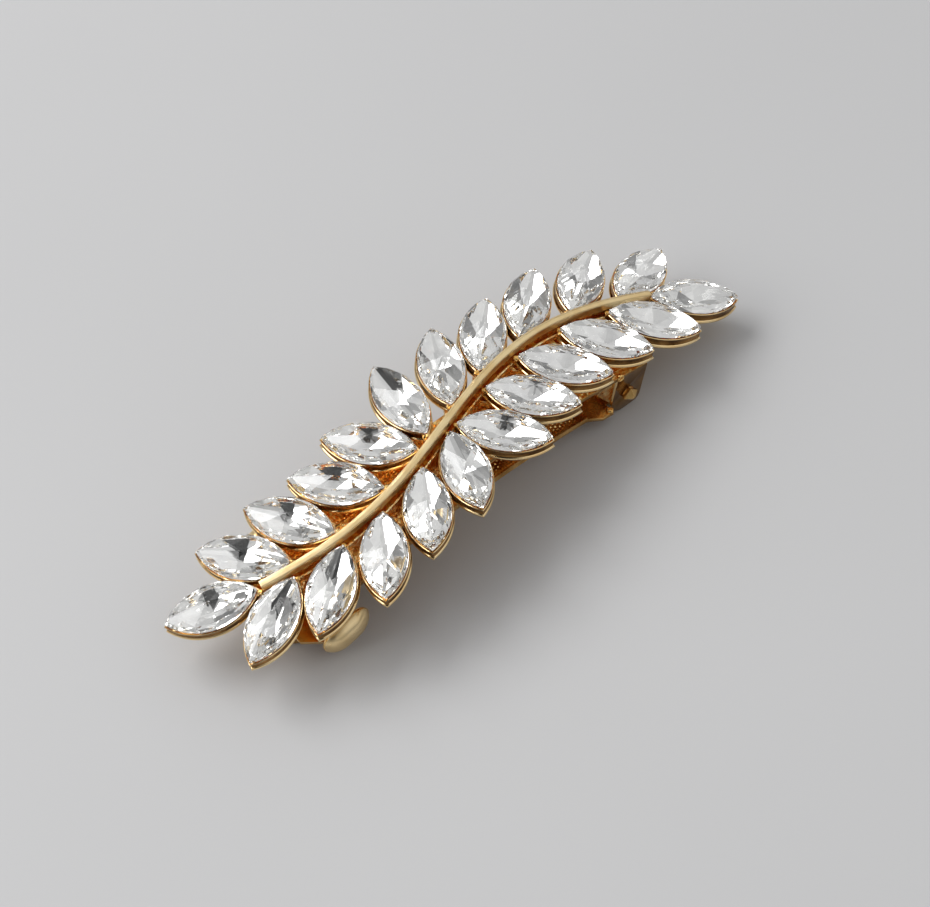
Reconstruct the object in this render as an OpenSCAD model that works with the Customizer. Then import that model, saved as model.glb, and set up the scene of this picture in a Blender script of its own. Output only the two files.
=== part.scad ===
// Leaf-spray hair barrette: navette stones in gold cups along a curved stem, carried by an
// arched three-strip spring clasp. X runs along the clip, Y across it and Z up from the table.
// Stones, cups and strips follow one arch, so a place on the clip is written (u, y, h):
// u along the arch, y across it and h square to it, with h = 0 at the girdles of the stones.

/* [Stones] */
// Length of a stone from point to point
stone_l = 11.9; // [11:0.1:12]
// Width of a stone across its middle
stone_w = 5.85; // [5:0.05:6]
// Height of the crown's point above the girdle
crown_h = 1.9; // [1.2:0.1:2.6]
// Depth of the foiled back below the girdle
back_h = 1.6; // [1.4:0.1:1.7]

/* [Cups] */
// Wall thickness of a cup
cup_wall = 0.15; // [0.1:0.05:0.2]
// Gap between a stone and its cup
stone_gap = 0.04; // [0.02:0.01:0.06]
// Thickness of a cup's floor
cup_floor = 0.3; // [0.2:0.05:0.4]
// Height of a cup's rim against the middle of the girdle
cup_rim = -0.35; // [-0.5:0.05:0]

/* [Arch] */
// Radius of the arch through the girdles
arch_r = 130; // [125:1:140]
// Place of the arch's top along the clip
arch_x = -3.4; // [-4:0.1:-2]
// Height of the girdles at the arch's top
girdle_z = 12.9; // [12.9:0.1:13.5]

/* [Stem] */
// Sideways swing of the stem's S curve
stem_swing = 3.7; // [3:0.1:4.5]
// Length of one full wave of the S curve
stem_wave = 74; // [70:1:80]
// Width of the stem's bar
stem_w = 1; // [0.8:0.05:1.1]
// Height of the bar's top above the girdles
stem_top = 0.9; // [0.5:0.1:1.2]
// Gap from the stem's centre line to the inner tip of a side leaf
tip_gap = 1.1; // [1.05:0.05:1.3]

/* [Clasp] */
// Centre line of the clasp across the clip
clip_y = -1.05; // [-1.2:0.05:0]
// Thickness of the base plate and the clasp arm
strip_t = 0.6; // [0.5:0.05:0.7]
// Half width of the base plate
base_hw = 4.5; // [4.5:0.1:5]
// Half width of the clasp arm's strip
arm_hw = 4.2; // [4:0.1:4.4]
// Diameter of the hinge pin
pin_d = 1.8; // [1.4:0.1:2]
// Thickness of the bow spring
bow_t = 0.4; // [0.3:0.05:0.5]
// Thickness of a latch lever's sheet
lever_t = 0.5; // [0.4:0.05:0.6]

/* [Thumb pads] */
// Length of a thumb pad
pad_l = 7.2; // [6:0.1:8]
// Height of a thumb pad
pad_h = 4.2; // [3.8:0.1:4.4]
// Thickness of a thumb pad at its middle
pad_t = 1.6; // [1.2:0.1:1.8]

/* [Hidden] */
$fn = 64;
arch_fn = 360;
deep = 60;

// Shift that centres the whole outline on the origin
shift = [0.45, 0.14, 0];

// Rows of leaves: side of the stem (1 far, -1 near), way along it (1 right, -1 left), stations
// of the inner tips, and the lean of each leaf off the stem, all from the middle outwards
ROWS = [
    [1, -1, [4.9, 7.1, 13.8, 22.1, 28.6], [97, 50, 50, 61, 52.5]],
    [1, 1, [0.5, 6.6, 14.4, 22.7, 29.9], [61, 44, 38, 32.5, 17]],
    [-1, 1, [-1, 5.4, 12.1, 19.4, 26.8], [51.5, 50.5, 50.5, 50.5, 46]],
    [-1, -1, [2.5, 8.5, 16.2, 22.6, 29.6], [68, 54.5, 50.5, 33.5, 21.5]],
];
// The leaves that close the stem's left and right ends: side, way, station and lean
ENDS = [[1, -1, 33.8, 24], [-1, 1, 33.7, 28.5]];
// Height of a stone's upright girdle
girdle_h = 0.5;
// Distance from a leaf's inner tip to its middle
leaf_reach = 6;
// The leaf that sits a little higher than its neighbours, and by how much
raised_leaf = 1;
leaf_lift = 0.6;

// Stem
stem_y0 = 0.6;
stem_phase = 1.8;
stem_u0 = -33.3;
stem_u1 = 33.3;
stem_step = 1.2;
stem_foot = -0.3;

// Levels square to the arch, from the cups down to the clasp arm
cup_foot = -back_h - cup_floor;
frame_top = -2.2;
base_top = -3.1;
base_low = base_top - strip_t;
arm_top = -8.5;
arm_low = arm_top - strip_t;

// Spray frame
frame_w = 2;
root_in = 7.4;
root_l = 2.4;
rib_w = 0.7;
rib_cut = 0.4;
spur_l = 9;
spur_in = 5.6;
spur_w = 1.4;

// Base plate, hinge and ears
base_u0 = -35.2;
base_u1 = 27.5;
base_corner = 3;
hinge_u = 25;
hinge_h = -7.2;
pin_stub = 1.4;
pin_gap = 0.03;
press_gap = 0.01;
ear_in = 3.85;
ear_t = 0.6;
ear_foot = -10.1;
ear_left = -2.6;
ear_right = 2.5;
ear_r_left = 2.2;
ear_r_right = 1.6;
gusset_y = 3.75;
gusset_t = 0.5;

// Clasp arm
head_u = -30;
head_r = 5.6;
shoulder_hw = 5.2;
shoulder_u = [18, 20, 22];
neck_hw = 3.6;
knuckle_r = 1.7;
rim_w = 0.4;
rim_h = 0.3;
rim_u0 = -25;
window_u = [-34.4, -30.2];
window_hw = 2.35;

// Bow spring
bow_r = 116;
bow_x = -4;
bow_low = -8.15;
bow_w = 5;

// Latch
latch_u = -32.3;
bracket_l = 4.8;
bracket_hw = 2.7;
lug_t = 0.45;
lug_foot = -5.7;
lug_inset = 0.15;
rod_r = 0.4;
rod_gap = 0.05;
rod_l = 4.8;
pivot_y = 1.9;
pivot_h = -4.9;
rivet_x = 0.9;
rivet_r = 0.5;
rivet_head_r = 0.8;
rivet_head_h = 0.3;
prong_l = 3.2;
prong_foot = -9.7;
lip_out = 2.85;
lip_h = 0.5;
leg_h = [-7, -6.4];
pad_x = -27;
pad_y = 9.05;
pad_z = 3.5;
pad_lean = -15;
pad_crown_r = 2.6;

gold = "goldenrod";
pale_gold = "burlywood";
bronze = "darkgoldenrod";
clear = "aliceblue";

function stem_y(u) = stem_y0 + stem_swing * sin(360 * (u + stem_phase) / stem_wave);
function stem_slope(u) =
    stem_swing * 2 * PI / stem_wave * cos(360 * (u + stem_phase) / stem_wave);

// A leaf's middle along and across the clip, and the way it points
function leaf(side, way, station, lean, gap) =
    let (u = way * station, dx = way * cos(lean), dy = side * sin(lean))
    [u + leaf_reach * dx, stem_y(u) + side * gap + leaf_reach * dy, atan2(dy, dx)];
function row_leaves(r) =
    [for (i = [0 : len(r[2]) - 1]) leaf(r[0], r[1], r[2][i], r[3][i], tip_gap)];

// Leaves 1-5 far left, 6-10 far right, 11-15 near right, 16-20 near left, 21 and 22 the ends
LEAVES = [
    for (r = ROWS) each row_leaves(r),
    for (e = ENDS) leaf(e[0], e[1], e[2], e[3], 0),
];

// Lean of the arch at u, and the place along X of a point at u and h
function tilt(u) = (u - arch_x) / arch_r * 180 / PI;
function plan_x(u, h) = arch_x + (arch_r + h) * sin(tilt(u));

module in_place() {
    translate(shift)
        children();
}

module arch_axis() {
    translate([arch_x, 0, girdle_z - arch_r])
        children();
}

// Puts a piece on the arch, with its own Z square to the arch
module on_arch(u, y) {
    arch_axis()
        rotate([0, tilt(u), 0])
            translate([0, y, arch_r])
                children();
}

function lift(i) = i == raised_leaf ? leaf_lift : 0;

module at_leaf(i) {
    on_arch(LEAVES[i - 1][0], LEAVES[i - 1][1])
        translate([0, 0, lift(i)])
            rotate([0, 0, LEAVES[i - 1][2]])
                children();
}

module roller(r) {
    rotate([90, 0, 0])
        cylinder(r = r, h = deep, center = true, $fn = arch_fn);
}

// The part of a plan outline that lies between levels h0 and h1 of the arch
module arched(h0, h1) {
    intersection() {
        linear_extrude(2 * girdle_z)
            children();
        arch_axis()
            difference() {
                roller(arch_r + h1);
                roller(arch_r + h0);
            }
    }
}

// A plate standing across the clip: its outline is drawn in X and Z, and y is its middle
module upright(y, t) {
    translate([0, y + t / 2, 0])
        rotate([90, 0, 0])
            linear_extrude(t)
                children();
}

module above_table() {
    intersection() {
        children();
        translate([-deep, -deep, 0])
            cube([2 * deep, 2 * deep, deep]);
    }
}

// Navette outline grown by a margin: two equal arcs that meet in points
function navette_r(l, w) = (l * l + w * w) / (4 * w);
module navette(margin) {
    r = navette_r(stone_l, stone_w);
    off = r - stone_w / 2;
    intersection() {
        translate([0, off])
            circle(r + margin, $fn = 128);
        translate([0, -off])
            circle(r + margin, $fn = 128);
    }
}

// Ring of a cut stone: eight points along each side, scaled about the middle
steps = 8;
function navette_ring(sx, sy, z) =
    let (r = navette_r(stone_l, stone_w), half = asin(stone_l / 2 / r))
    [
        for (side = [1, -1])
            for (k = [0 : steps - 1])
                let (a = side * (2 * half * k / steps - half))
                [sx * r * sin(a), side * sy * (r * cos(a) - r + stone_w / 2), z]
    ];

// Faces between two rings that start at points a and b, wound to look outwards
function band(a, b, n) = [for (k = [0 : n - 1]) [a + k, a + (k + 1) % n, b + (k + 1) % n, b + k]];

module stone(i) {
    n = 2 * steps;
    rings = [
        navette_ring(0.3, 0.3, -back_h),
        navette_ring(1, 1, -girdle_h / 2),
        navette_ring(1, 1, girdle_h / 2),
        navette_ring(0.93, 0.84, 0.75),
    ];
    points = [for (r = rings) each r, [0, 0, crown_h]];
    back = [for (k = [n - 1 : -1 : 0]) k];
    sides = [for (j = [0 : len(rings) - 2]) each band(j * n, (j + 1) * n, n)];
    apex = len(rings) * n;
    crown = [for (k = [0 : n - 1]) [apex - n + k, apex - n + (k + 1) % n, apex]];
    color(clear)
        at_leaf(i)
            polyhedron(points, concat([back], sides, crown));
}

module cup(i) {
    color(gold)
        at_leaf(i)
            difference() {
                translate([0, 0, cup_foot])
                    linear_extrude(cup_rim - cup_foot)
                        navette(stone_gap + cup_wall);
                translate([0, 0, -back_h])
                    linear_extrude(back_h + 1)
                        navette(stone_gap);
            }
}

// Ribbon of width w along the stem's centre line, drawn in plan
function stem_side(u, off) =
    let (s = stem_slope(u), n = sqrt(1 + s * s))
    [plan_x(u, 0) - off * s / n, stem_y(u) + off / n];
module stem_ribbon(w, cut) {
    run = stem_u1 - stem_u0 - 2 * cut;
    last = round(run / stem_step);
    stations = [for (k = [0 : last]) stem_u0 + cut + run * k / last];
    polygon(concat(
        [for (u = stations) stem_side(u, -w / 2)],
        [for (k = [last : -1 : 0]) stem_side(stations[k], w / 2)]
    ));
}

module stem() {
    color(pale_gold)
        arched(stem_foot, stem_top)
            stem_ribbon(stem_w, 0);
}

// Square bar under leaf i, from x along the leaf, between the base plate and the height top
module leaf_bar(i, x, l, top) {
    at_leaf(i)
        translate([x, -spur_w / 2, base_top - leaf_lift - lift(i)])
            cube([l, spur_w, top - base_top + leaf_lift]);
}

// Cast frame under the spray: an S bar with a rib up to the stem, and a spur to each cup
module spray_frame() {
    color(bronze) {
        arched(base_top, frame_top)
            stem_ribbon(frame_w, 0);
        arched(frame_top - 0.1, stem_foot)
            stem_ribbon(rib_w, rib_cut);
        intersection() {
            for (i = [1 : len(LEAVES)]) {
                leaf_bar(i, -root_in, root_l, frame_top);
                leaf_bar(i, -spur_in, spur_l, cup_foot + lift(i));
            }
            arch_axis()
                difference() {
                    roller(arch_r + 1);
                    roller(arch_r + base_top);
                }
        }
    }
}

module at_hinge() {
    on_arch(hinge_u, clip_y)
        translate([0, 0, hinge_h])
            children();
}

module hinge_bar(r, l) {
    at_hinge()
        rotate([90, 0, 0])
            cylinder(r = r, h = l, center = true);
}

module strip_plan(u0, u1, h, hw) {
    translate([plan_x(u0, h), clip_y - hw])
        square([plan_x(u1, h) - plan_x(u0, h), 2 * hw]);
}

// Base plate in plan, with the two corners at its latch end rounded
module base_plan() {
    x0 = plan_x(base_u0, base_low);
    x1 = plan_x(base_u1, base_low);
    r = base_corner;
    corner = [for (a = [0 : 15 : 90]) [x0 + r - r * sin(a), base_hw - r + r * cos(a)]];
    translate([0, clip_y])
        polygon(concat(
            [[x1, -base_hw], [x1, base_hw]],
            corner,
            [for (k = [len(corner) - 1 : -1 : 0]) [corner[k][0], -corner[k][1]]]
        ));
}

// Ear outline about the pin: two rounded lower corners
module ear_plan() {
    foot = ear_foot - hinge_h;
    top = base_top - strip_t / 2 - hinge_h;
    translate([ear_left + ear_r_left, foot + ear_r_left])
        circle(ear_r_left);
    translate([ear_right - ear_r_right, foot + ear_r_right])
        circle(ear_r_right);
    translate([ear_left, foot + ear_r_left])
        square([ear_right - ear_left, top - foot - ear_r_left]);
    translate([ear_left + ear_r_left, foot])
        square([ear_right - ear_left - ear_r_left - ear_r_right, ear_r_left]);
    translate([0, foot + ear_r_right])
        square([ear_right, ear_r_left]);
}

module gusset_plan() {
    polygon([[-7.2, 3.6], [-2.4, 3.8], [-2.4, -1.1]]);
}

module base_plate() {
    color(gold)
        difference() {
            above_table()
                union() {
                    arched(base_low, base_top)
                        base_plan();
                    for (side = [-1, 1])
                        at_hinge() {
                            upright(side * (ear_in + ear_t / 2), ear_t)
                                ear_plan();
                            upright(side * gusset_y, gusset_t)
                                gusset_plan();
                        }
                }
            hinge_bar(pin_d / 2 + press_gap, deep);
            at_rivets()
                cylinder(r = rivet_r + press_gap, h = deep, center = true);
        }
}

module hinge_pin() {
    color(pale_gold)
        hinge_bar(pin_d / 2, 2 * (ear_in + ear_t + pin_stub));
}

// Thin strip bowed the other way, with both ends against the underside of the base
module bow_spring() {
    color(bronze)
        intersection() {
            translate([bow_x, 0, girdle_z + bow_low + bow_r])
                difference() {
                    roller(bow_r);
                    roller(bow_r - bow_t);
                }
            arch_axis()
                roller(arch_r + base_low);
            translate([-deep / 2, clip_y - bow_w / 2, 0])
                cube([deep, bow_w, 2 * girdle_z]);
        }
}

module arm_plan() {
    mid = (arm_top + arm_low) / 2;
    strip_plan(head_u, shoulder_u[0], mid, arm_hw);
    strip_plan(shoulder_u[2] - 1, hinge_u, mid, neck_hw);
    translate([plan_x(head_u, mid), clip_y])
        circle(head_r);
    x = [for (u = shoulder_u) plan_x(u, mid)];
    translate([0, clip_y])
        polygon([
            [x[0], arm_hw], [x[1], shoulder_hw], [x[2], shoulder_hw],
            [x[2], -shoulder_hw], [x[1], -shoulder_hw], [x[0], -arm_hw],
        ]);
}

module clasp_arm() {
    color(gold)
        difference() {
            union() {
                arched(arm_low, arm_top)
                    arm_plan();
                arched(arm_top - 0.1, arm_top + rim_h)
                    difference() {
                        strip_plan(rim_u0, shoulder_u[0], arm_top, arm_hw);
                        strip_plan(rim_u0 - 1, shoulder_u[0] + 1, arm_top, arm_hw - rim_w);
                    }
                hinge_bar(knuckle_r, 2 * neck_hw);
            }
            hinge_bar(pin_d / 2 + pin_gap, deep);
            linear_extrude(girdle_z)
                strip_plan(window_u[0], window_u[1], arm_low, window_hw);
        }
}

module at_latch() {
    on_arch(latch_u, clip_y)
        children();
}

module at_rivets() {
    at_latch()
        for (x = [-rivet_x, rivet_x])
            translate([x, 0, 0])
                children();
}

// Pivot line of the lever on one side of the clasp
module pivot_bar(side, r, l) {
    at_latch()
        translate([0, side * pivot_y, pivot_h])
            rotate([0, 90, 0])
                cylinder(r = r, h = l, center = true);
}

module latch_bracket() {
    plate_low = base_low - strip_t;
    lug_x = (bracket_l - lug_t) / 2 - lug_inset;
    lug_hw = bracket_hw - lug_inset;
    color(pale_gold)
        difference() {
            union() {
                arched(plate_low, base_low)
                    translate([plan_x(latch_u, base_low) - bracket_l / 2, clip_y - bracket_hw])
                        square([bracket_l, 2 * bracket_hw]);
                at_latch()
                    for (end = [-1, 1])
                        translate([end * lug_x, 0, (lug_foot + plate_low) / 2 + 0.1])
                            cube([lug_t, 2 * lug_hw, plate_low - lug_foot + 0.2], center = true);
            }
            for (side = [-1, 1])
                pivot_bar(side, rod_r + rod_gap, deep);
            at_rivets()
                cylinder(r = rivet_r + press_gap, h = deep, center = true);
        }
}

module latch_rivets() {
    head_top = base_low - strip_t;
    color(pale_gold)
        at_rivets() {
            translate([0, 0, head_top - rivet_head_h])
                cylinder(r = rivet_head_r, h = rivet_head_h);
            translate([0, 0, head_top - 0.1])
                cylinder(r = rivet_r, h = base_top - head_top + 0.1);
        }
}

// Side arm of a lever, drawn in plan from its prong out to its thumb pad
module leg_plan() {
    reach = pad_y - pad_t / 2 + 0.2;
    polygon([[-1.6, pivot_y], [1.2, pivot_y], [2.2, reach - 2.5], [6.2, reach - 0.8],
        [6.2, reach], [1, reach], [-1.6, reach - 2.6]]);
}

// Thumb pad: a stadium that stands along the clip and leans with it, its outer face crowned
module thumb_pad(side) {
    translate([pad_x, clip_y + side * pad_y, pad_z])
        rotate([0, pad_lean, 0])
            intersection() {
                upright(0, 2 * pad_t)
                    union() {
                        square([pad_l - pad_h, pad_h], center = true);
                        for (end = [-1, 1])
                            translate([end * (pad_l - pad_h) / 2, 0])
                                circle(pad_h / 2);
                    }
                translate([0, side * (pad_t / 2 - pad_crown_r), 0])
                    rotate([0, 90, 0])
                        cylinder(r = pad_crown_r, h = 2 * pad_l, center = true, $fn = 200);
                translate([0, side * pad_t / 2, 0])
                    cube([2 * pad_l, 2 * pad_t, 2 * pad_h], center = true);
            }
}

module latch_lever(side) {
    above_table()
        union() {
            pivot_bar(side, rod_r, rod_l);
            at_latch() {
                translate([0, side * pivot_y, (pivot_h + prong_foot) / 2])
                    cube([prong_l, lever_t, pivot_h - prong_foot], center = true);
                translate([0, side * (pivot_y + lip_out) / 2, prong_foot + lip_h / 2])
                    cube([prong_l, lip_out - pivot_y, lip_h], center = true);
                translate([0, 0, leg_h[0]])
                    linear_extrude(leg_h[1] - leg_h[0])
                        scale([1, side])
                            leg_plan();
            }
            thumb_pad(side);
        }
}

module latch_lever_near() {
    color(gold)
        latch_lever(-1);
}

module latch_lever_far() {
    color(gold)
        latch_lever(1);
}

for (i = [1 : len(LEAVES)]) in_place() stone(i);
for (i = [1 : len(LEAVES)]) in_place() cup(i);
in_place() stem();
in_place() spray_frame();
in_place() base_plate();
in_place() hinge_pin();
in_place() bow_spring();
in_place() clasp_arm();
in_place() latch_bracket();
in_place() latch_rivets();
in_place() latch_lever_near();
in_place() latch_lever_far();
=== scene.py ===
import math
import random

import bmesh
import bpy
import numpy as np
from mathutils import Matrix, Vector


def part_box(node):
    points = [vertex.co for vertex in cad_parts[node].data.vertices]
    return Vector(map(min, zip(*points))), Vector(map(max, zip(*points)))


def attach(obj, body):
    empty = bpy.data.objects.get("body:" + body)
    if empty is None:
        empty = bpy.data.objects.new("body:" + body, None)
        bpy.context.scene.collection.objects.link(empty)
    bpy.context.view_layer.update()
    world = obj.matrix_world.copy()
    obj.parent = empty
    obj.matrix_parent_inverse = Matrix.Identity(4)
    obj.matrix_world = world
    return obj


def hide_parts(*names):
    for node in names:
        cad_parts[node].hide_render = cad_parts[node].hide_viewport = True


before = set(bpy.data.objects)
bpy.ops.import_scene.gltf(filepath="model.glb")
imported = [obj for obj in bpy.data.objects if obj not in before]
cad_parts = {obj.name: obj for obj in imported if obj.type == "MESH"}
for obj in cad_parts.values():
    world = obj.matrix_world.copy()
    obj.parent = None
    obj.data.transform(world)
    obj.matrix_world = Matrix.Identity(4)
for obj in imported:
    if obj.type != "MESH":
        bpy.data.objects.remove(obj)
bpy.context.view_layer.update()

MM = 0.001
LEAVES = 22

# Design values shared with the CAD source, in millimetres
SHIFT = Vector((0.45, 0.14, 0))
ARCH_R, ARCH_X, GIRDLE_Z = 130, -3.4, 12.9
STONE_L, STONE_W, BACK_H, CROWN_H = 11.9, 5.85, 1.6, 1.9
GIRDLE_H = 0.5
STEM_SWING, STEM_WAVE, STEM_Y0, STEM_PHASE = 3.7, 74, 0.6, 1.8
STEM_U = (-33.3, 33.3)
CLIP_Y = -1.05
HINGE_U = 25
BASE_TOP, ARM_TOP = -3.12, -8.5
EAR_IN, EAR_MIDDLE, EAR_OUT = 3.9, 4.15, 4.4
SHOULDER_U, SHOULDER_HW = 21.6, 4.85

# How close two points are joined, and how far a cut may miss, in millimetres
JOIN, CUT = 0.002, 1e-5
random.seed(7)


# ---------------------------------------------------------------- places on the arch

def stem_y(u):
    return STEM_Y0 + STEM_SWING * math.sin(math.tau * (u + STEM_PHASE) / STEM_WAVE)


def arch_frame(u, y, h=0.0):
    """Matrix, in millimetres, of the frame at (u, y, h): its Z is square to the arch."""
    tilt = (u - ARCH_X) / ARCH_R
    place = Matrix.Translation(SHIFT + Vector((ARCH_X, 0, GIRDLE_Z - ARCH_R)))
    return place @ Matrix.Rotation(tilt, 4, "Y") @ Matrix.Translation((0, y, ARCH_R + h))


def on_arch(u, y, h):
    return arch_frame(u, y, h).translation


def leaf_frame(number):
    """A stone's own frame in millimetres, from its solid: X along it, outwards, Z off the arch."""
    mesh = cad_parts[f"stone_{number}"].data
    co = np.unique(np.round(np.array([v.co for v in mesh.vertices], float) / MM, 3), axis=0)
    axes = np.linalg.svd(co - co.mean(0))[2]
    along, out = axes[0], axes[2]
    if out[2] < 0:
        out = -out
    across = np.cross(out, along)
    reach = co @ np.array([along, across, out]).T
    middle = (reach.max(0) + reach.min(0)) / 2
    middle[2] = reach[:, 2].min() + BACK_H
    centre = middle @ np.array([along, across, out])
    stem = np.array([on_arch(u, stem_y(u), 0) for u in np.linspace(*STEM_U, 60)])
    tips = [centre + s * along * STONE_L / 2 for s in (-1, 1)]
    near = [np.linalg.norm(stem - t, axis=1).min() for t in tips]
    if near[0] > near[1]:
        along, across = -along, -across
    m = Matrix.Identity(4)
    for k, axis in enumerate((along, across, out)):
        m.col[k][:3] = axis
    m.col[3][:3] = centre
    return m


# ---------------------------------------------------------------- pieces

def add_piece(name, bm, materials, body, replaces=(), smooth=False):
    """Turns a bmesh in millimetres into an object that rides on a CAD body."""
    bmesh.ops.scale(bm, vec=(MM, MM, MM), verts=bm.verts)
    bmesh.ops.recalc_face_normals(bm, faces=bm.faces)
    mesh = bpy.data.meshes.new(name)
    bm.to_mesh(mesh)
    bm.free()
    for face in mesh.polygons:
        face.use_smooth = smooth
    for material in materials:
        mesh.materials.append(material)
    piece = bpy.data.objects.new(name, mesh)
    bpy.context.scene.collection.objects.link(piece)
    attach(piece, body)
    if replaces:
        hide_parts(*replaces)
    return piece


def bevel(piece, width, angle=30):
    """Rounds the edges that turn by more than an angle in degrees, by a width in millimetres."""
    mod = piece.modifiers.new("edges", "BEVEL")
    mod.width = width * MM
    mod.segments = 2
    mod.limit_method = "ANGLE"
    mod.angle_limit = math.radians(angle)
    mod.harden_normals = True
    for face in piece.data.polygons:
        face.use_smooth = True
    return piece


def node_bmesh(node):
    """The CAD node's solid in millimetres, with its split corners joined and flat faces whole."""
    bm = bmesh.new()
    bm.from_mesh(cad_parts[node].data)
    bmesh.ops.scale(bm, vec=(1 / MM, 1 / MM, 1 / MM), verts=bm.verts)
    bmesh.ops.remove_doubles(bm, verts=bm.verts, dist=JOIN)
    bmesh.ops.dissolve_limit(bm, angle_limit=math.radians(1), verts=bm.verts, edges=bm.edges)
    return bm


def skin_rings(bm, rings, caps=True):
    """Joins each ring of vertices to the next and closes both ends; gives the rows of faces."""
    size = len(rings[0])
    rows = []
    for a, b in zip(rings, rings[1:]):
        rows.append([])
        for k in range(size):
            j = (k + 1) % size
            rows[-1].append(bm.faces.new((a[k], a[j], b[j], b[k])))
    if caps:
        bm.faces.new(rings[0])
        bm.faces.new(rings[-1])
    return rows


def cut_off(bm, point, normal):
    """Cuts away what lies past a plane, and closes the cut."""
    everything = bm.verts[:] + bm.edges[:] + bm.faces[:]
    bmesh.ops.bisect_plane(bm, geom=everything, dist=CUT, plane_co=point, plane_no=normal,
                           clear_outer=True)
    rim = [e for e in bm.edges if e.is_boundary]
    if rim:
        bmesh.ops.contextual_create(bm, geom=rim)


# ---------------------------------------------------------------- materials

def material(name):
    m = bpy.data.materials.new(name)
    m.use_nodes = True
    return m, m.node_tree, m.node_tree.nodes["Principled BSDF"]


def noise(tree, scale, detail=2.0, stretch=None):
    """Noise in object coordinates; stretch lengthens it along some of the axes."""
    coords = tree.nodes.new("ShaderNodeTexCoord")
    out = coords.outputs["Object"]
    if stretch:
        mapping = tree.nodes.new("ShaderNodeMapping")
        mapping.inputs["Scale"].default_value = stretch
        tree.links.new(out, mapping.inputs["Vector"])
        out = mapping.outputs["Vector"]
    tex = tree.nodes.new("ShaderNodeTexNoise")
    tex.inputs["Scale"].default_value = scale
    tex.inputs["Detail"].default_value = detail
    tree.links.new(out, tex.inputs["Vector"])
    return tex.outputs["Fac"]


def ramp(tree, value, stops):
    """Colours a value by (value, colour) stops."""
    node = tree.nodes.new("ShaderNodeValToRGB")
    node.color_ramp.elements[0].position = stops[0][0]
    node.color_ramp.elements[0].color = stops[0][1]
    node.color_ramp.elements[1].position = stops[-1][0]
    node.color_ramp.elements[1].color = stops[-1][1]
    for place, colour in stops[1:-1]:
        node.color_ramp.elements.new(place).color = colour
    tree.links.new(value, node.inputs["Fac"])
    return node.outputs["Color"]


def bump(tree, shader, value, strength, distance):
    node = tree.nodes.new("ShaderNodeBump")
    node.inputs["Strength"].default_value = strength
    node.inputs["Distance"].default_value = distance * MM
    tree.links.new(value, node.inputs["Height"])
    tree.links.new(node.outputs["Normal"], shader.inputs["Normal"])


def grey(v):
    return (v, v, v, 1)


# Scales of the drift in colour and of the wear, per metre, and how strongly the grain shows
TONE_SCALE, WEAR_SCALE, GRAIN_STRENGTH = 350, 900, 0.6


def gold(name, dark, light, rough, grain, stretch=None, tone_scale=TONE_SCALE):
    """Plated metal: colour and gloss drift a little, over a fine grain."""
    m, tree, shader = material(name)
    shader.inputs["Metallic"].default_value = 1.0
    drift = noise(tree, tone_scale, 3)
    tree.links.new(ramp(tree, drift, [(0.35, dark), (0.65, light)]), shader.inputs["Base Color"])
    wear = noise(tree, WEAR_SCALE, 4)
    low, high = rough
    tree.links.new(ramp(tree, wear, [(0.3, grey(low)), (0.7, grey(high))]),
                   shader.inputs["Roughness"])
    scale, height = grain
    bump(tree, shader, noise(tree, scale, 3, stretch), GRAIN_STRENGTH, height)
    return m


# Each metal: darkest and lightest colour, least and most roughness, its grain's scale per metre and
# its height in millimetres
POLISHED = gold("polished_gold", (0.80, 0.45, 0.13, 1), (0.94, 0.66, 0.28, 1),
                (0.08, 0.20), (1500, 0.02))
CUP_GOLD = gold("cup_gold", (0.90, 0.63, 0.30, 1), (0.97, 0.76, 0.43, 1),
                (0.12, 0.24), (1800, 0.008))
# Painted shade: the cups' walls are gold painted dark brown for the shade that falls on them, not
# their own colour
CUP_WALL_SHADE = gold("cup_wall", (0.10, 0.045, 0.012, 1), (0.36, 0.19, 0.06, 1),
                (0.20, 0.38), (2600, 0.04))
STEM_GOLD = gold("stem_gold", (0.84, 0.62, 0.31, 1), (0.95, 0.76, 0.44, 1),
                 (0.28, 0.42), (1500, 0.01), stretch=(0.3, 1, 1))
CAST_GOLD = gold("cast_gold", (0.74, 0.30, 0.05, 1), (1.0, 0.88, 0.50, 1),
                 (0.08, 0.24), (2300, 0.32), tone_scale=1500)
STAMPED = gold("stamped_gold", (0.70, 0.28, 0.05, 1), (1.0, 0.82, 0.40, 1),
               (0.12, 0.28), (2400, 0.2), tone_scale=1700)
# Painted shade: the ears' outer faces are gold painted dark brown for the shade and dark
# reflections they show
EAR_PAINTED_SHADE = gold("ear_painted_shade", (0.20, 0.10, 0.03, 1), (0.40, 0.23, 0.08, 1),
                (0.12, 0.24), (1200, 0.02))
ARM_GOLD = gold("arm_gold", (0.50, 0.27, 0.08, 1), (0.76, 0.47, 0.18, 1),
                (0.18, 0.34), (1600, 0.02))
PAD_GOLD = gold("pad_gold", (0.80, 0.60, 0.31, 1), (0.91, 0.71, 0.40, 1),
                (0.27, 0.38), (2600, 0.006))


# The glass: its index, its marks' scale and roughness, its waves' scale, strength and height
GLASS_IOR, MARK_SCALE, MARK_ROUGH, GLASS_WAVES = 1.56, 2200, 0.09, (260, 0.15, 0.006)
# The foil: scales of its tone and its gloss, its waves' scale, strength and height
FOIL_TONE, FOIL_GRAIN, FOIL_WAVES = 420, 1500, (300, 0.2, 0.004)


def crystal():
    """Clear glass, with the slightest waviness and handling marks on its facets."""
    m, tree, shader = material("crystal")
    shader.inputs["Base Color"].default_value = (0.99, 0.99, 0.985, 1)
    shader.inputs["Transmission Weight"].default_value = 1.0
    shader.inputs["IOR"].default_value = GLASS_IOR
    marks = noise(tree, MARK_SCALE, 4)
    tree.links.new(ramp(tree, marks, [(0.55, grey(0.0)), (0.8, grey(MARK_ROUGH))]),
                   shader.inputs["Roughness"])
    scale, strength, height = GLASS_WAVES
    bump(tree, shader, noise(tree, scale, 1), strength, height)
    return m


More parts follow.
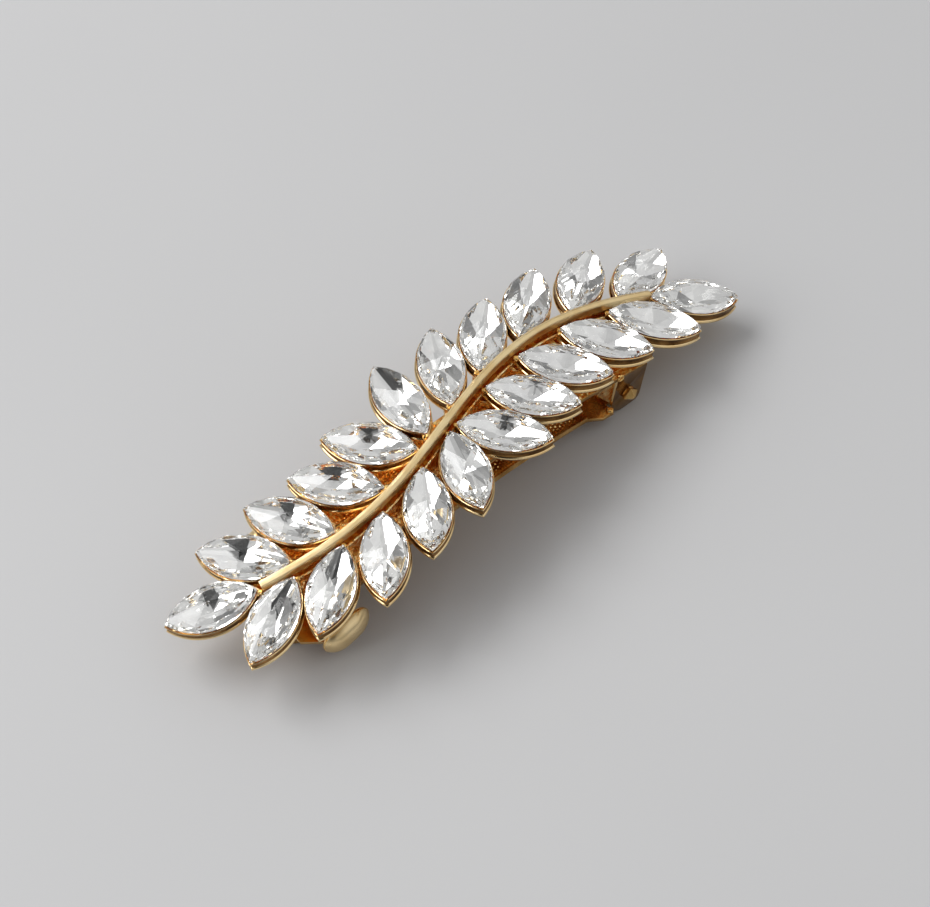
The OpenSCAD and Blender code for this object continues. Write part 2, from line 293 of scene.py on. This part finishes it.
def foil():
    """Silvered back of a stone, seen through the glass."""
    m, tree, shader = material("foil")
    shader.inputs["Metallic"].default_value = 1.0
    tone = noise(tree, FOIL_TONE, 3)
    tree.links.new(ramp(tree, tone, [(0.3, (0.86, 0.86, 0.86, 1)), (0.6, (0.97, 0.97, 0.96, 1))]),
                   shader.inputs["Base Color"])
    grain = noise(tree, FOIL_GRAIN, 4)
    tree.links.new(ramp(tree, grain, [(0.35, grey(0.015)), (0.75, grey(0.05))]),
                   shader.inputs["Roughness"])
    scale, strength, height = FOIL_WAVES
    bump(tree, shader, noise(tree, scale, 1), strength, height)
    return m


CRYSTAL = crystal()
FOIL = foil()


# ---------------------------------------------------------------- stones

# Radius of each side of the outline, and how far past the middle its centre is
ARC_R = (STONE_L ** 2 + STONE_W ** 2) / (4 * STONE_W)
ARC_OFF = ARC_R - STONE_W / 2
# Steps along each side: to measure the outline, on a stone and on a cup
REACH_STEPS, STONE_STEPS, CUP_STEPS = 48, 14, 20


def outline(margin, steps):
    """Points of the navette outline grown by margin, anticlockwise from its outer tip."""
    r = ARC_R + margin
    half = math.acos(ARC_OFF / r)
    side = [half - 2 * half * k / steps for k in range(steps)]
    upper = [(r * math.sin(a), r * math.cos(a) - ARC_OFF) for a in side]
    return upper + [(-x, -y) for x, y in upper]


# The way each facet on one side of a stone faces, in degrees from its outer tip
MAIN_FACETS = (50, 77, 103, 130)
CROWN_BREAKS = (43, 60, 80, 100, 120, 137)
BACK_BREAKS = (41, 53, 65, 78, 90, 102, 115, 127, 139)
# How far the main facets fall or rise to the outline, and the slopes of the breaks round it
MAIN_FALL, MAIN_RISE = CROWN_H - 0.6, BACK_H - 0.42
CROWN_SLOPE, BACK_SLOPES = 50, (44, 50)
# How far above the back's lowest point its main facets meet, and how much taller the uncut block is
POINT, SPARE = 0.02, 0.5
# How unevenly they are cut: a main facet's turn and its back's in degrees, the fall and the rise
TURN_SKEW, UNDER_SKEW, FALL_SKEW, RISE_SKEW = 2.5, 2, 0.05, 0.06
# How far a stone may lean in its cup in degrees, sideways and endways
WOBBLE = (1.2, 0.8)


def support(azimuth):
    """How far the outline reaches in a direction."""
    a = math.radians(azimuth)
    return max(x * math.cos(a) + y * math.sin(a) for x, y in outline(0, REACH_STEPS))


def facet_planes(skew):
    """Facets as (azimuth, a point's distance out and height, slope: above 0 on the crown)."""
    planes = []
    top, low = GIRDLE_H / 2, -GIRDLE_H / 2
    for side in (1, -1):
        for azimuth in MAIN_FACETS:
            reach = support(azimuth)
            turn = side * azimuth + skew.uniform(-TURN_SKEW, TURN_SKEW)
            fall = MAIN_FALL + skew.uniform(-FALL_SKEW, FALL_SKEW)
            planes.append((turn, 0, CROWN_H, math.atan2(fall, reach)))
            rise = MAIN_RISE + skew.uniform(-RISE_SKEW, RISE_SKEW)
            turn += skew.uniform(-UNDER_SKEW, UNDER_SKEW)
            planes.append((turn, 0, POINT - BACK_H, -math.atan2(rise, reach)))
        for azimuth in CROWN_BREAKS:
            planes.append((side * azimuth, support(azimuth), top, math.radians(CROWN_SLOPE)))
        for azimuth in BACK_BREAKS:
            slope = math.radians(skew.uniform(*BACK_SLOPES))
            planes.append((side * azimuth, support(azimuth), low, -slope))
    return planes


def cut_stone(seed):
    """A navette block cut by its facet planes; its back takes the second material."""
    bm = bmesh.new()
    ring = outline(0, STONE_STEPS)
    low = [bm.verts.new((x, y, -BACK_H)) for x, y in ring]
    high = [bm.verts.new((x, y, CROWN_H + SPARE)) for x, y in ring]
    bm.faces.new(list(reversed(low)))
    bm.faces.new(high)
    for k in range(len(ring)):
        j = (k + 1) % len(ring)
        bm.faces.new((low[k], low[j], high[j], high[k]))
    for azimuth, out, z, slope in facet_planes(random.Random(seed)):
        a = math.radians(azimuth)
        up = math.copysign(1, slope)
        flat = Vector((math.cos(a), math.sin(a), 0))
        normal = flat * math.sin(abs(slope)) + Vector((0, 0, up * math.cos(slope)))
        cut_off(bm, flat * out + Vector((0, 0, z)), normal)
    bmesh.ops.recalc_face_normals(bm, faces=bm.faces)
    for face in bm.faces:
        face.material_index = 1 if face.normal.z < -0.1 else 0
    return bm


def add_stones(frames):
    for number, m in frames.items():
        bm = cut_stone(number)
        turn = Matrix.Rotation(math.pi * (number % 2), 4, "Z")
        wobble = Matrix.Rotation(math.radians(random.uniform(-WOBBLE[0], WOBBLE[0])), 4, "X")
        wobble @= Matrix.Rotation(math.radians(random.uniform(-WOBBLE[1], WOBBLE[1])), 4, "Y")
        bmesh.ops.transform(bm, matrix=m @ wobble @ turn, verts=bm.verts)
        add_piece(f"cut_stone_{number}", bm, [CRYSTAL, FOIL], "spray",
                  [f"stone_{number}"])


# ---------------------------------------------------------------- cups

# A cup's section from inside its rim, over it and down the wall to the flange: margin and height
CUP_OUTSIDE = [(0.04, -1.62), (0.06, -0.42), (0.09, -0.35), (0.15, -0.33), (0.21, -0.38),
               (0.21, -0.47), (0.15, -0.55), (0.08, -0.66), (0.07, -1.3), (0.12, -1.42),
               (0.22, -1.46), (0.28, -1.55), (0.28, -1.72), (0.22, -1.86), (0.1, -1.9)]
# Which rows of it are the wall, painted dark as shade, and the least angle of its tips in degrees
SHADED_WALL_ROWS, CUP_TIP = range(5, 9), 50


def add_cups(frames):
    for number, m in frames.items():
        bm = bmesh.new()
        rings = [[bm.verts.new((x, y, z)) for x, y in outline(margin, CUP_STEPS)]
                 for margin, z in CUP_OUTSIDE]
        for level, row in enumerate(skin_rings(bm, rings)):
            for face in row:
                face.material_index = level in SHADED_WALL_ROWS
        bmesh.ops.transform(bm, matrix=m, verts=bm.verts)
        cup = add_piece(f"gold_cup_{number}", bm, [CUP_GOLD, CUP_WALL_SHADE], "spray",
                        [f"cup_{number}"], True)
        split = cup.modifiers.new("tips", "EDGE_SPLIT")
        split.split_angle = math.radians(CUP_TIP)


# ---------------------------------------------------------------- stem

# Section of the stem's bar, across it and up, its ridge off the middle; then of the rail beside it
STEM_SECTION = [(-0.5, -0.3), (-0.52, 0.3), (-0.5, 0.74), (-0.4, 0.88), (0.06, 0.93), (0.17, 0.88),
                (0.24, 0.8), (0.4, 0.79), (0.5, 0.7), (0.52, 0.3), (0.5, -0.3)]
RAIL_SECTION = [(-1.05, -2.25), (-1.02, -1.05), (-0.85, -0.95), (-0.68, -1.05), (-0.65, -2.25)]
# Where the rail starts and ends, and the step along both
RAIL_U, SWEEP_STEP = (STEM_U[0] + 2, STEM_U[1] - 4), 0.6


def sweep(section, u0, u1):
    """Carries a section along the stem's S curve and closes both ends."""
    bm = bmesh.new()
    count = round((u1 - u0) / SWEEP_STEP)
    rings = []
    for k in range(count + 1):
        u = u0 + (u1 - u0) * k / count
        slope = (stem_y(u + 0.01) - stem_y(u - 0.01)) / 0.02
        m = arch_frame(u, stem_y(u)) @ Matrix.Rotation(math.atan(slope), 4, "Z")
        rings.append([bm.verts.new(m @ Vector((0, across, up))) for across, up in section])
    skin_rings(bm, rings)
    return bm


def add_stem():
    bar = sweep(STEM_SECTION, *STEM_U)
    bevel(add_piece("stem_bar", bar, [STEM_GOLD], "spray", ["stem"]), 0.05)
    rail = sweep(RAIL_SECTION, *RAIL_U)
    bevel(add_piece("stem_rail", rail, [CAST_GOLD], "spray"), 0.04)


# ---------------------------------------------------------------- tray and roots

# The tray's skin in millimetres: its mesh, its lumps' size and height, and the level they keep
SKIN, LUMP_SIZE, LUMP_HEIGHT, LUMP_LEVEL = 0.17, 0.7, 0.36, 0.55


def add_tray():
    """The cast tray, with the uneven skin that casting and plating leave."""
    bm = node_bmesh("spray_frame")
    tray = add_piece("cast_tray", bm, [CAST_GOLD], "spray", ["spray_frame"], True)
    remesh = tray.modifiers.new("skin", "REMESH")
    remesh.mode = "VOXEL"
    remesh.voxel_size = SKIN * MM
    remesh.use_smooth_shade = True
    texture = bpy.data.textures.new("casting", "CLOUDS")
    texture.noise_scale = LUMP_SIZE * MM
    texture.noise_depth = 2
    lumps = tray.modifiers.new("lumps", "DISPLACE")
    lumps.texture = texture
    lumps.texture_coords = "LOCAL"
    lumps.strength = LUMP_HEIGHT * MM
    lumps.mid_level = LUMP_LEVEL


# Solder at a leaf's root: how many lumps, their least and most radius, and the step out and up
ROOT_LUMPS, ROOT_SIZES, ROOT_STEP = 3, (0.28, 0.46), (0.3, -0.2)
# Where the first one is from the stone's tip, out and up, and how far they stray along and across
ROOT_PLACE, ROOT_STRAY = (-0.25, -0.55), (0.1, 0.35)
# How uneven a lump is, and how flat it lies
ROOT_SWELL, ROOT_FLAT = 0.16, 0.8


def add_roots(frames):
    """Solder at the root of each leaf, from the cup's inner tip across to the stem."""
    bm = bmesh.new()
    for m in frames.values():
        for k in range(ROOT_LUMPS):
            size = random.uniform(*ROOT_SIZES)
            along = -STONE_L / 2 + ROOT_PLACE[0] + ROOT_STEP[0] * k
            along += random.uniform(-ROOT_STRAY[0], ROOT_STRAY[0])
            across = random.uniform(-ROOT_STRAY[1], ROOT_STRAY[1])
            place = m @ Vector((along, across, ROOT_PLACE[1] + ROOT_STEP[1] * k))
            made = bmesh.ops.create_icosphere(bm, subdivisions=3, radius=size)["verts"]
            phase = random.uniform(0, 6)
            for v in made:
                n = v.co.normalized()
                swell = math.sin(5 * n.x + phase) * math.cos(4 * n.y + 2 * n.z + phase)
                v.co = n * size * (1 + ROOT_SWELL * swell)
                v.co.z *= ROOT_FLAT
            bmesh.ops.translate(bm, vec=place, verts=made)
    add_piece("leaf_roots", bm, [POLISHED], "spray", (), True)


# ---------------------------------------------------------------- clasp

# How squarely a face of an ear looks forward to take a painted highlight, and sideways to take
# painted shade
FORWARD, SIDEWAYS = 0.6, 0.95


def clasp_painted_light(face):
    """A base plate face's painted light: the ears' outer faces are painted dark as shade, their
    front faces bright as a highlight.
    """
    off = abs(face.calc_center_median().y - CLIP_Y - SHIFT.y)
    if face.normal.x < -FORWARD and off > EAR_IN:
        return 2
    return 1 if abs(face.normal.y) > SIDEWAYS and off > EAR_OUT else 0


def add_clasp():
    """The clasp's solids with rounded edges: name, node, body, finish, slot and edge width."""
    for name, node, body, skin, slot, width in (
        ("clasp_base", "base_plate", "spray", STAMPED, "clasp_gold", 0.1),
        ("clasp_swing_arm", "clasp_arm", "arm", ARM_GOLD, "arm_gold", 0.1),
        ("bow_strip", "bow_spring", "spray", ARM_GOLD, "spring_gold", 0.08),
        ("latch_saddle", "latch_bracket", "spray", POLISHED, "clasp_gold", 0.06),
        ("saddle_rivets", "latch_rivets", "spray", POLISHED, "pin_gold", 0.06),
    ):
        bm = node_bmesh(node)
        # On the base plate, the ears' outer faces take the painted shade and their front faces the
        # lighter cup gold as a painted highlight
        if node == "base_plate":
            for face in bm.faces:
                face.material_index = clasp_painted_light(face)
        bevel(add_piece(name, bm, [skin, EAR_PAINTED_SHADE, CUP_GOLD], body, [node]), width)


# The base plate's ribs: how far each is from the middle, and half its width
BASE_RIBS = ((1.15, 0.3), (2.6, 0.16), (3.4, 0.16))
# How high they are, how wide their top is for their foot, and where they start
RIB_HEIGHT, RIB_TAPER, RIB_START = 0.15, 0.6, -31
# The curl at the root of an ear: where it is, its radius, and half its thickness and width
CURL_U, CURL_OFF, CURL_H, CURL_R, CURL_THICK, CURL_WIDE = 22.55, 4.45, -3.25, 0.42, 0.17, 0.3
# An ear's rounded front edge: how far ahead of the pin, its half sizes, its top and its length
EDGE_AHEAD, EDGE_THICK, EDGE_WIDE, EDGE_TOP, EDGE_LONG = 2.52, 0.3, 0.27, -3.5, 4.1
# Steps along and round each of the two
CURL_STEPS, CURL_SIDES, EDGE_STEPS, EDGE_SIDES = 24, 10, 8, 12


def add_base_ribs():
    """Stamped ribs along the top of the base plate."""
    bm = bmesh.new()
    for side in (-1, 1):
        for off, half in BASE_RIBS:
            high, top = BASE_TOP + RIB_HEIGHT, half * RIB_TAPER
            section = [(-half, BASE_TOP), (-top, high), (top, high), (half, BASE_TOP)]
            y = CLIP_Y + side * off
            skin_rings(bm, [[bm.verts.new(on_arch(u, y + a, h)) for a, h in section]
                            for u in range(RIB_START, HINGE_U)])
    bevel(add_piece("base_ribs", bm, [POLISHED], "spray"), 0.03)


def add_ear_details():
    """The curl at the root of each hinge ear, and the ear's rounded front edge."""
    bm = bmesh.new()
    for side in (-1, 1):
        m = arch_frame(CURL_U, CLIP_Y + side * CURL_OFF, CURL_H)
        rings = []
        for k in range(CURL_STEPS + 1):
            a = math.tau * k / CURL_STEPS
            middle = Vector((CURL_R * math.cos(a), 0, CURL_R * math.sin(a)))
            ring = []
            for j in range(CURL_SIDES):
                b = math.tau * j / CURL_SIDES
                off = middle.normalized() * CURL_THICK * math.cos(b)
                aside = Vector((0, CURL_WIDE * math.sin(b), 0))
                ring.append(bm.verts.new(m @ (middle + off + aside)))
            rings.append(ring)
        skin_rings(bm, rings, caps=False)
    bmesh.ops.remove_doubles(bm, verts=bm.verts, dist=JOIN / 2)
    add_piece("ear_curls", bm, [POLISHED], "spray", (), True)
    bm = bmesh.new()
    turns = [math.tau * j / EDGE_SIDES for j in range(EDGE_SIDES)]
    around = [(EDGE_THICK * math.cos(a) - EDGE_AHEAD, EDGE_WIDE * math.sin(a)) for a in turns]
    for side in (-1, 1):
        m = arch_frame(HINGE_U, CLIP_Y + side * EAR_MIDDLE)
        rings = []
        for k in range(EDGE_STEPS + 1):
            h = EDGE_TOP - EDGE_LONG * k / EDGE_STEPS
            rings.append([bm.verts.new(m @ Vector((x, y, h))) for x, y in around])
        skin_rings(bm, rings)
    bevel(add_piece("ear_edges", bm, [CUP_GOLD], "spray"), 0.05, angle=50)


# Along the hinge pin: distance from its end, scale of its section, and how square that is
PIN_STATIONS = [(1.42, 1, 0), (1.38, 1.1, 1), (1.05, 1.3, 1), (0.85, 1.3, 1), (0.2, 0.3, 1)]
PIN_SIDES = 32


def add_pin():
    """The hinge pin: a round shaft whose ends are forged into four-sided points."""
    low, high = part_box("hinge_pin")
    length = (high.y - low.y) / MM
    radius = (high.z - low.z) / MM / 2
    bm = bmesh.new()
    rings = []
    for side, rows in ((-1, PIN_STATIONS[::-1]), (1, PIN_STATIONS)):
        for inset, scale, square in rows:
            ring = []
            for k in range(PIN_SIDES):
                a = math.tau * k / PIN_SIDES
                diamond = 1 / (abs(math.cos(a)) + abs(math.sin(a)))
                r = radius * scale * (1 + square * (diamond - 1))
                y = side * (length / 2 - inset)
                ring.append(bm.verts.new((r * math.cos(a), y, r * math.sin(a))))
            rings.append(ring)
    skin_rings(bm, rings)
    bmesh.ops.translate(bm, vec=(low + high) / 2 / MM, verts=bm.verts)
    bmesh.ops.dissolve_limit(bm, angle_limit=math.radians(2), verts=bm.verts, edges=bm.edges)
    shaft = add_piece("hinge_shaft", bm, [POLISHED], "spray", ["hinge_pin"])
    bevel(shaft, 0.05, angle=20)


# A pressed point's corners, as turns in radians, and the height its foot stands at
POINT_CORNERS, POINT_FOOT = (0.4, 1.97, 3.54, 5.11), -0.03


def pressed_points(u0, u1, half, pitch, level, size, height, jitter):
    """Rows of small four-sided points on a strip of the clasp, from u0 to u1."""
    bm = bmesh.new()
    rows = int(2 * half / pitch) + 1
    for i in range(int((u1 - u0) / pitch)):
        for j in range(rows):
            y = CLIP_Y - half + pitch * (j + 0.5 * (i % 2))
            if y > CLIP_Y + half:
                continue
            m = arch_frame(u0 + pitch * i, y, level)
            r = size * random.uniform(1 - jitter, 1 + jitter)
            turn = random.uniform(-jitter, jitter) * 3
            corners = [a + turn for a in POINT_CORNERS]
            base = [bm.verts.new(m @ Vector((r * math.cos(a), r * math.sin(a), POINT_FOOT)))
                    for a in corners]
            top = bm.verts.new(m @ Vector((random.uniform(-jitter, jitter) * r,
                                           random.uniform(-jitter, jitter) * r, height)))
            bm.faces.new(list(reversed(base)))
            for k in range(4):
                bm.faces.new((base[k], base[(k + 1) % 4], top))
    return bm


def add_knurl():
    """The points on the clasp arm, between its rims, and on the base plate under the leaves."""
    arm = pressed_points(-24, 17, half=3.5, pitch=0.56, level=ARM_TOP, size=0.2, height=0.17,
                         jitter=0.12)
    add_piece("arm_knurl", arm, [POLISHED], "arm")
    base = pressed_points(-30, 22, half=4.1, pitch=0.6, level=BASE_TOP, size=0.32, height=0.34,
                          jitter=0.3)
    add_piece("base_knurl", base, [POLISHED], "spray")


# A fold at the arm's shoulder: its radius, its height on the arm, how flat and how uneven it is
FOLD_R, FOLD_H, FOLD_FLAT, FOLD_SWELL = 0.5, 0.1, 0.75, 0.14


def add_shoulder_folds():
    """The lump where the arm's rim folds round each of its shoulders."""
    bm = bmesh.new()
    for side in (-1, 1):
        m = arch_frame(SHOULDER_U, CLIP_Y + side * SHOULDER_HW, ARM_TOP + FOLD_H)
        made = bmesh.ops.create_icosphere(bm, subdivisions=3, radius=FOLD_R)["verts"]
        for v in made:
            v.co.z *= FOLD_FLAT
            v.co *= 1 + FOLD_SWELL * math.sin(9 * v.co.x + side) * math.cos(8 * v.co.y)
        bmesh.ops.transform(bm, matrix=m, verts=made)
    add_piece("arm_corner_folds", bm, [POLISHED], "arm", (), True)


# A thumb pad: its length and height, its middle, where its back stands, its dome and its lean
PAD_L, PAD_H, PAD_X, PAD_Z, PAD_IN, PAD_DOME, PAD_LEAN = 7.2, 4.2, -26.55, 3.5, 8.4, 1.45, -15
# Share of the pad's outline and how far out the sheet stands there, from the face round to the back
PAD_PROFILE = [(0.01, 1.0), (0.25, 0.985), (0.45, 0.93), (0.62, 0.82), (0.76, 0.66), (0.87, 0.46),
               (0.95, 0.24), (0.99, 0.06), (1.0, -0.08), (0.985, -0.2), (0.94, -0.26),
               (0.86, -0.24), (0.5, -0.2), (0.01, -0.2)]
# Points round it, how soon its ends part from the middle, and how far the lever reaches into it
PAD_SIDES, PAD_EASE, PAD_LAP = 64, 2.5, 0.1


def pad_shape(side):
    """A thumb pad as pressed from sheet: a stadium with a domed face and a rolled edge."""
    bm = bmesh.new()
    straight = (PAD_L - PAD_H) / 2
    around = []
    for k in range(PAD_SIDES):
        a = math.tau * k / PAD_SIDES
        apart = math.copysign(min(1, PAD_EASE * abs(math.cos(a))), math.cos(a))
        around.append((straight * apart + PAD_H / 2 * math.cos(a), PAD_H / 2 * math.sin(a)))
    place = Matrix.Translation((PAD_X, CLIP_Y + SHIFT.y, PAD_Z))
    place @= Matrix.Rotation(math.radians(PAD_LEAN), 4, "Y")
    rings = []
    for share, out in PAD_PROFILE:
        y = side * (PAD_IN + PAD_DOME * out)
        rings.append([bm.verts.new(place @ Vector((x * share, y, z * share))) for x, z in around])
    skin_rings(bm, rings)
    return bm


def add_levers():
    """Each latch lever: its own solid up to the thumb pad, and then the pressed pad."""
    for side, word in ((-1, "near"), (1, "far")):
        node = f"latch_lever_{word}"
        bm = node_bmesh(node)
        cut_off(bm, Vector((0, CLIP_Y + SHIFT.y + side * (PAD_IN + PAD_LAP), 0)), (0, side, 0))
        body = f"lever_{word}"
        bevel(add_piece(f"{word}_lever", bm, [POLISHED], body, [node]), 0.08)
        add_piece(f"{word}_thumb_pad", pad_shape(side), [PAD_GOLD], body, (), True)


# ---------------------------------------------------------------- camera, floor and light

# The camera: azimuth, elevation and roll in degrees, place in millimetres, focal length in pixels
CAMERA_TURN = (-41.134, 54.53, -0.411)
CAMERA_PLACE = Vector((-176.03, -202.16, 368.52 + GIRDLE_Z)) + SHIFT
FOCAL_PX, WIDTH_PX = 3708.7, 930


def add_camera():
    """Set by the perspective of the object as it lies in view: a long lens from the front left."""
    azimuth, elevation, roll = (math.radians(turn) for turn in CAMERA_TURN)
    level = math.cos(elevation)
    back = Vector((math.sin(azimuth) * level, -math.cos(azimuth) * level, math.sin(elevation)))
    right = Vector((math.cos(azimuth), math.sin(azimuth), 0))
    up = back.cross(right)
    c, s = math.cos(roll), math.sin(roll)
    right, up = c * right + s * up, -s * right + c * up
    camera = bpy.data.cameras.new("camera")
    camera.sensor_width = 36
    camera.lens = FOCAL_PX * camera.sensor_width / WIDTH_PX
    camera.clip_start = 0.01
    camera.clip_end = 20
    holder = bpy.data.objects.new("camera", camera)
    m = Matrix.Identity(4)
    for k, axis in enumerate((right, up, back)):
        m.col[k][:3] = axis
    m.col[3][:3] = CAMERA_PLACE * MM
    holder.matrix_world = m
    bpy.context.scene.collection.objects.link(holder)
    bpy.context.scene.camera = holder


# The floor's darkest and lightest tone, its roughness, and its tone's and grain's scales per metre
FLOOR_TONES = ((0.50, 0.50, 0.505, 1), (0.53, 0.53, 0.535, 1))
FLOOR_ROUGH, FLOOR_TONE_SCALE, FLOOR_GRAIN = 0.75, 6, 3000
# Half its side and how far it lies under the clip, in metres
FLOOR_HALF, FLOOR_GAP = 1.5, 0.0001


def add_floor():
    m, tree, shader = material("pale_floor")
    shader.inputs["Roughness"].default_value = FLOOR_ROUGH
    tone = noise(tree, FLOOR_TONE_SCALE, 3)
    tree.links.new(ramp(tree, tone, [(0.3, FLOOR_TONES[0]), (0.7, FLOOR_TONES[1])]),
                   shader.inputs["Base Color"])
    bump(tree, shader, noise(tree, FLOOR_GRAIN, 2), 0.15, 0.05)
    bm = bmesh.new()
    bmesh.ops.create_grid(bm, x_segments=1, y_segments=1, size=FLOOR_HALF)
    mesh = bpy.data.meshes.new("floor")
    bm.to_mesh(mesh)
    bm.free()
    mesh.materials.append(m)
    floor = bpy.data.objects.new("floor", mesh)
    floor.location.z = -FLOOR_GAP
    bpy.context.scene.collection.objects.link(floor)


def add_light(name, place, size, power):
    """A white area light that shines at the object."""
    light = bpy.data.lights.new(name, "AREA")
    light.shape = "RECTANGLE"
    light.size, light.size_y = size
    light.energy = power
    holder = bpy.data.objects.new(name, light)
    holder.location = place
    aim = Vector((0, 0, 0.01)) - Vector(place)
    holder.rotation_euler = aim.to_track_quat("-Z", "Y").to_euler()
    bpy.context.scene.collection.objects.link(holder)


def heading(azimuth, elevation):
    """Unit vector: azimuth from X towards Y and elevation, in degrees."""
    a, e = math.radians(azimuth), math.radians(elevation)
    return Vector((math.cos(e) * math.cos(a), math.cos(e) * math.sin(a), math.sin(e)))


# Each area light: its heading in degrees, its distance and size in metres, and its power in watts
LIGHTS = {"key": ((115, 48), 1, (0.7, 0.5), 5.5), "side": ((155, 30), 0.9, (0.6, 0.55), 3.1)}
# The dome's brightness by height, and its strength
DOME = [(0.02, 0.22), (0.2, 0.32), (0.4, 0.8), (0.75, 0.95), (1.0, 0.65)]
DOME_STRENGTH = 0.8
# The dark side of the room: its middle, where it starts and ends round that, and how bright it is
UNLIT_WAY, UNLIT_FROM, UNLIT_TO, UNLIT_TONE = (-141, 42), math.radians(28), math.radians(18), 0.02
# How often light may bounce at all, and how often off metal or through glass
BOUNCES, CLEAR_BOUNCES = 32, 24


def add_studio():
    """A soft dome, large lights behind and beside the clip, and an unlit side of the room."""
    for name, (way, distance, size, power) in LIGHTS.items():
        add_light(name, heading(*way) * distance, size, power)
    world = bpy.data.worlds.new("studio")
    world.use_nodes = True
    tree = world.node_tree
    coords = tree.nodes.new("ShaderNodeTexCoord").outputs["Generated"]
    split = tree.nodes.new("ShaderNodeSeparateXYZ")
    tree.links.new(coords, split.inputs["Vector"])
    dome = ramp(tree, split.outputs["Z"], [(height, grey(light)) for height, light in DOME])
    unlit = tree.nodes.new("ShaderNodeVectorMath")
    unlit.operation = "DOT_PRODUCT"
    tree.links.new(coords, unlit.inputs[0])
    unlit.inputs[1].default_value = heading(*UNLIT_WAY)
    shade = ramp(tree, unlit.outputs["Value"], [(math.cos(UNLIT_FROM), grey(1)),
                                                (math.cos(UNLIT_TO), grey(UNLIT_TONE))])
    both = tree.nodes.new("ShaderNodeVectorMath")
    both.operation = "MULTIPLY"
    tree.links.new(dome, both.inputs[0])
    tree.links.new(shade, both.inputs[1])
    tree.links.new(both.outputs["Vector"], tree.nodes["Background"].inputs["Color"])
    tree.nodes["Background"].inputs["Strength"].default_value = DOME_STRENGTH
    bpy.context.scene.world = world
    bpy.context.scene.view_settings.view_transform = "Standard"
    # Light crosses a cut stone many times before it leaves
    paths = bpy.context.scene.cycles
    paths.max_bounces = BOUNCES
    paths.glossy_bounces = CLEAR_BOUNCES
    paths.transmission_bounces = CLEAR_BOUNCES


FRAMES = {n: leaf_frame(n) for n in range(1, LEAVES + 1)}
add_camera()
add_stones(FRAMES)
add_cups(FRAMES)
add_stem()
add_tray()
add_roots(FRAMES)
add_clasp()
add_pin()
add_knurl()
add_shoulder_folds()
add_levers()
add_base_ribs()
add_ear_details()
add_floor()
add_studio()
